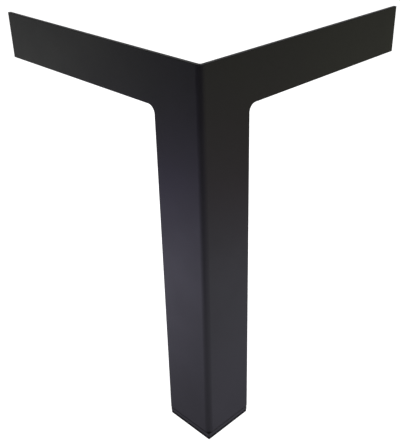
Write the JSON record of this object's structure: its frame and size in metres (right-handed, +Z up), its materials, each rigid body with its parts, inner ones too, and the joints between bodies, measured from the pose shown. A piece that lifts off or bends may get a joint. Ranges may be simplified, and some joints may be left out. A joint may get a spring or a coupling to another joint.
{
  "type": "square metal table leg",
  "caption": "Corner leg of folded and welded steel sheet: arms at a right angle over a closed square leg, with a corner mounting plate between them and a flat padded foot.",
  "frame": {"origin": "centre of the square foot's underside", "axes": "+Z up the leg; one arm points along +X and the other along +Y"},
  "size_m": [0.29, 0.29, 0.41],
  "materials": {
    "powder_coat": "fine-textured satin black powder coat",
    "pad": "matte black"
  },
  "bodies": {
    "root": {"corner_sheet": "powder_coat", "rear_angle": "powder_coat", "foot_plate": "powder_coat", "mounting_plate": "powder_coat", "arm_welds": "powder_coat", "leg_weld": "powder_coat", "glide_pad": "pad"}
  },
  "joints": []
}
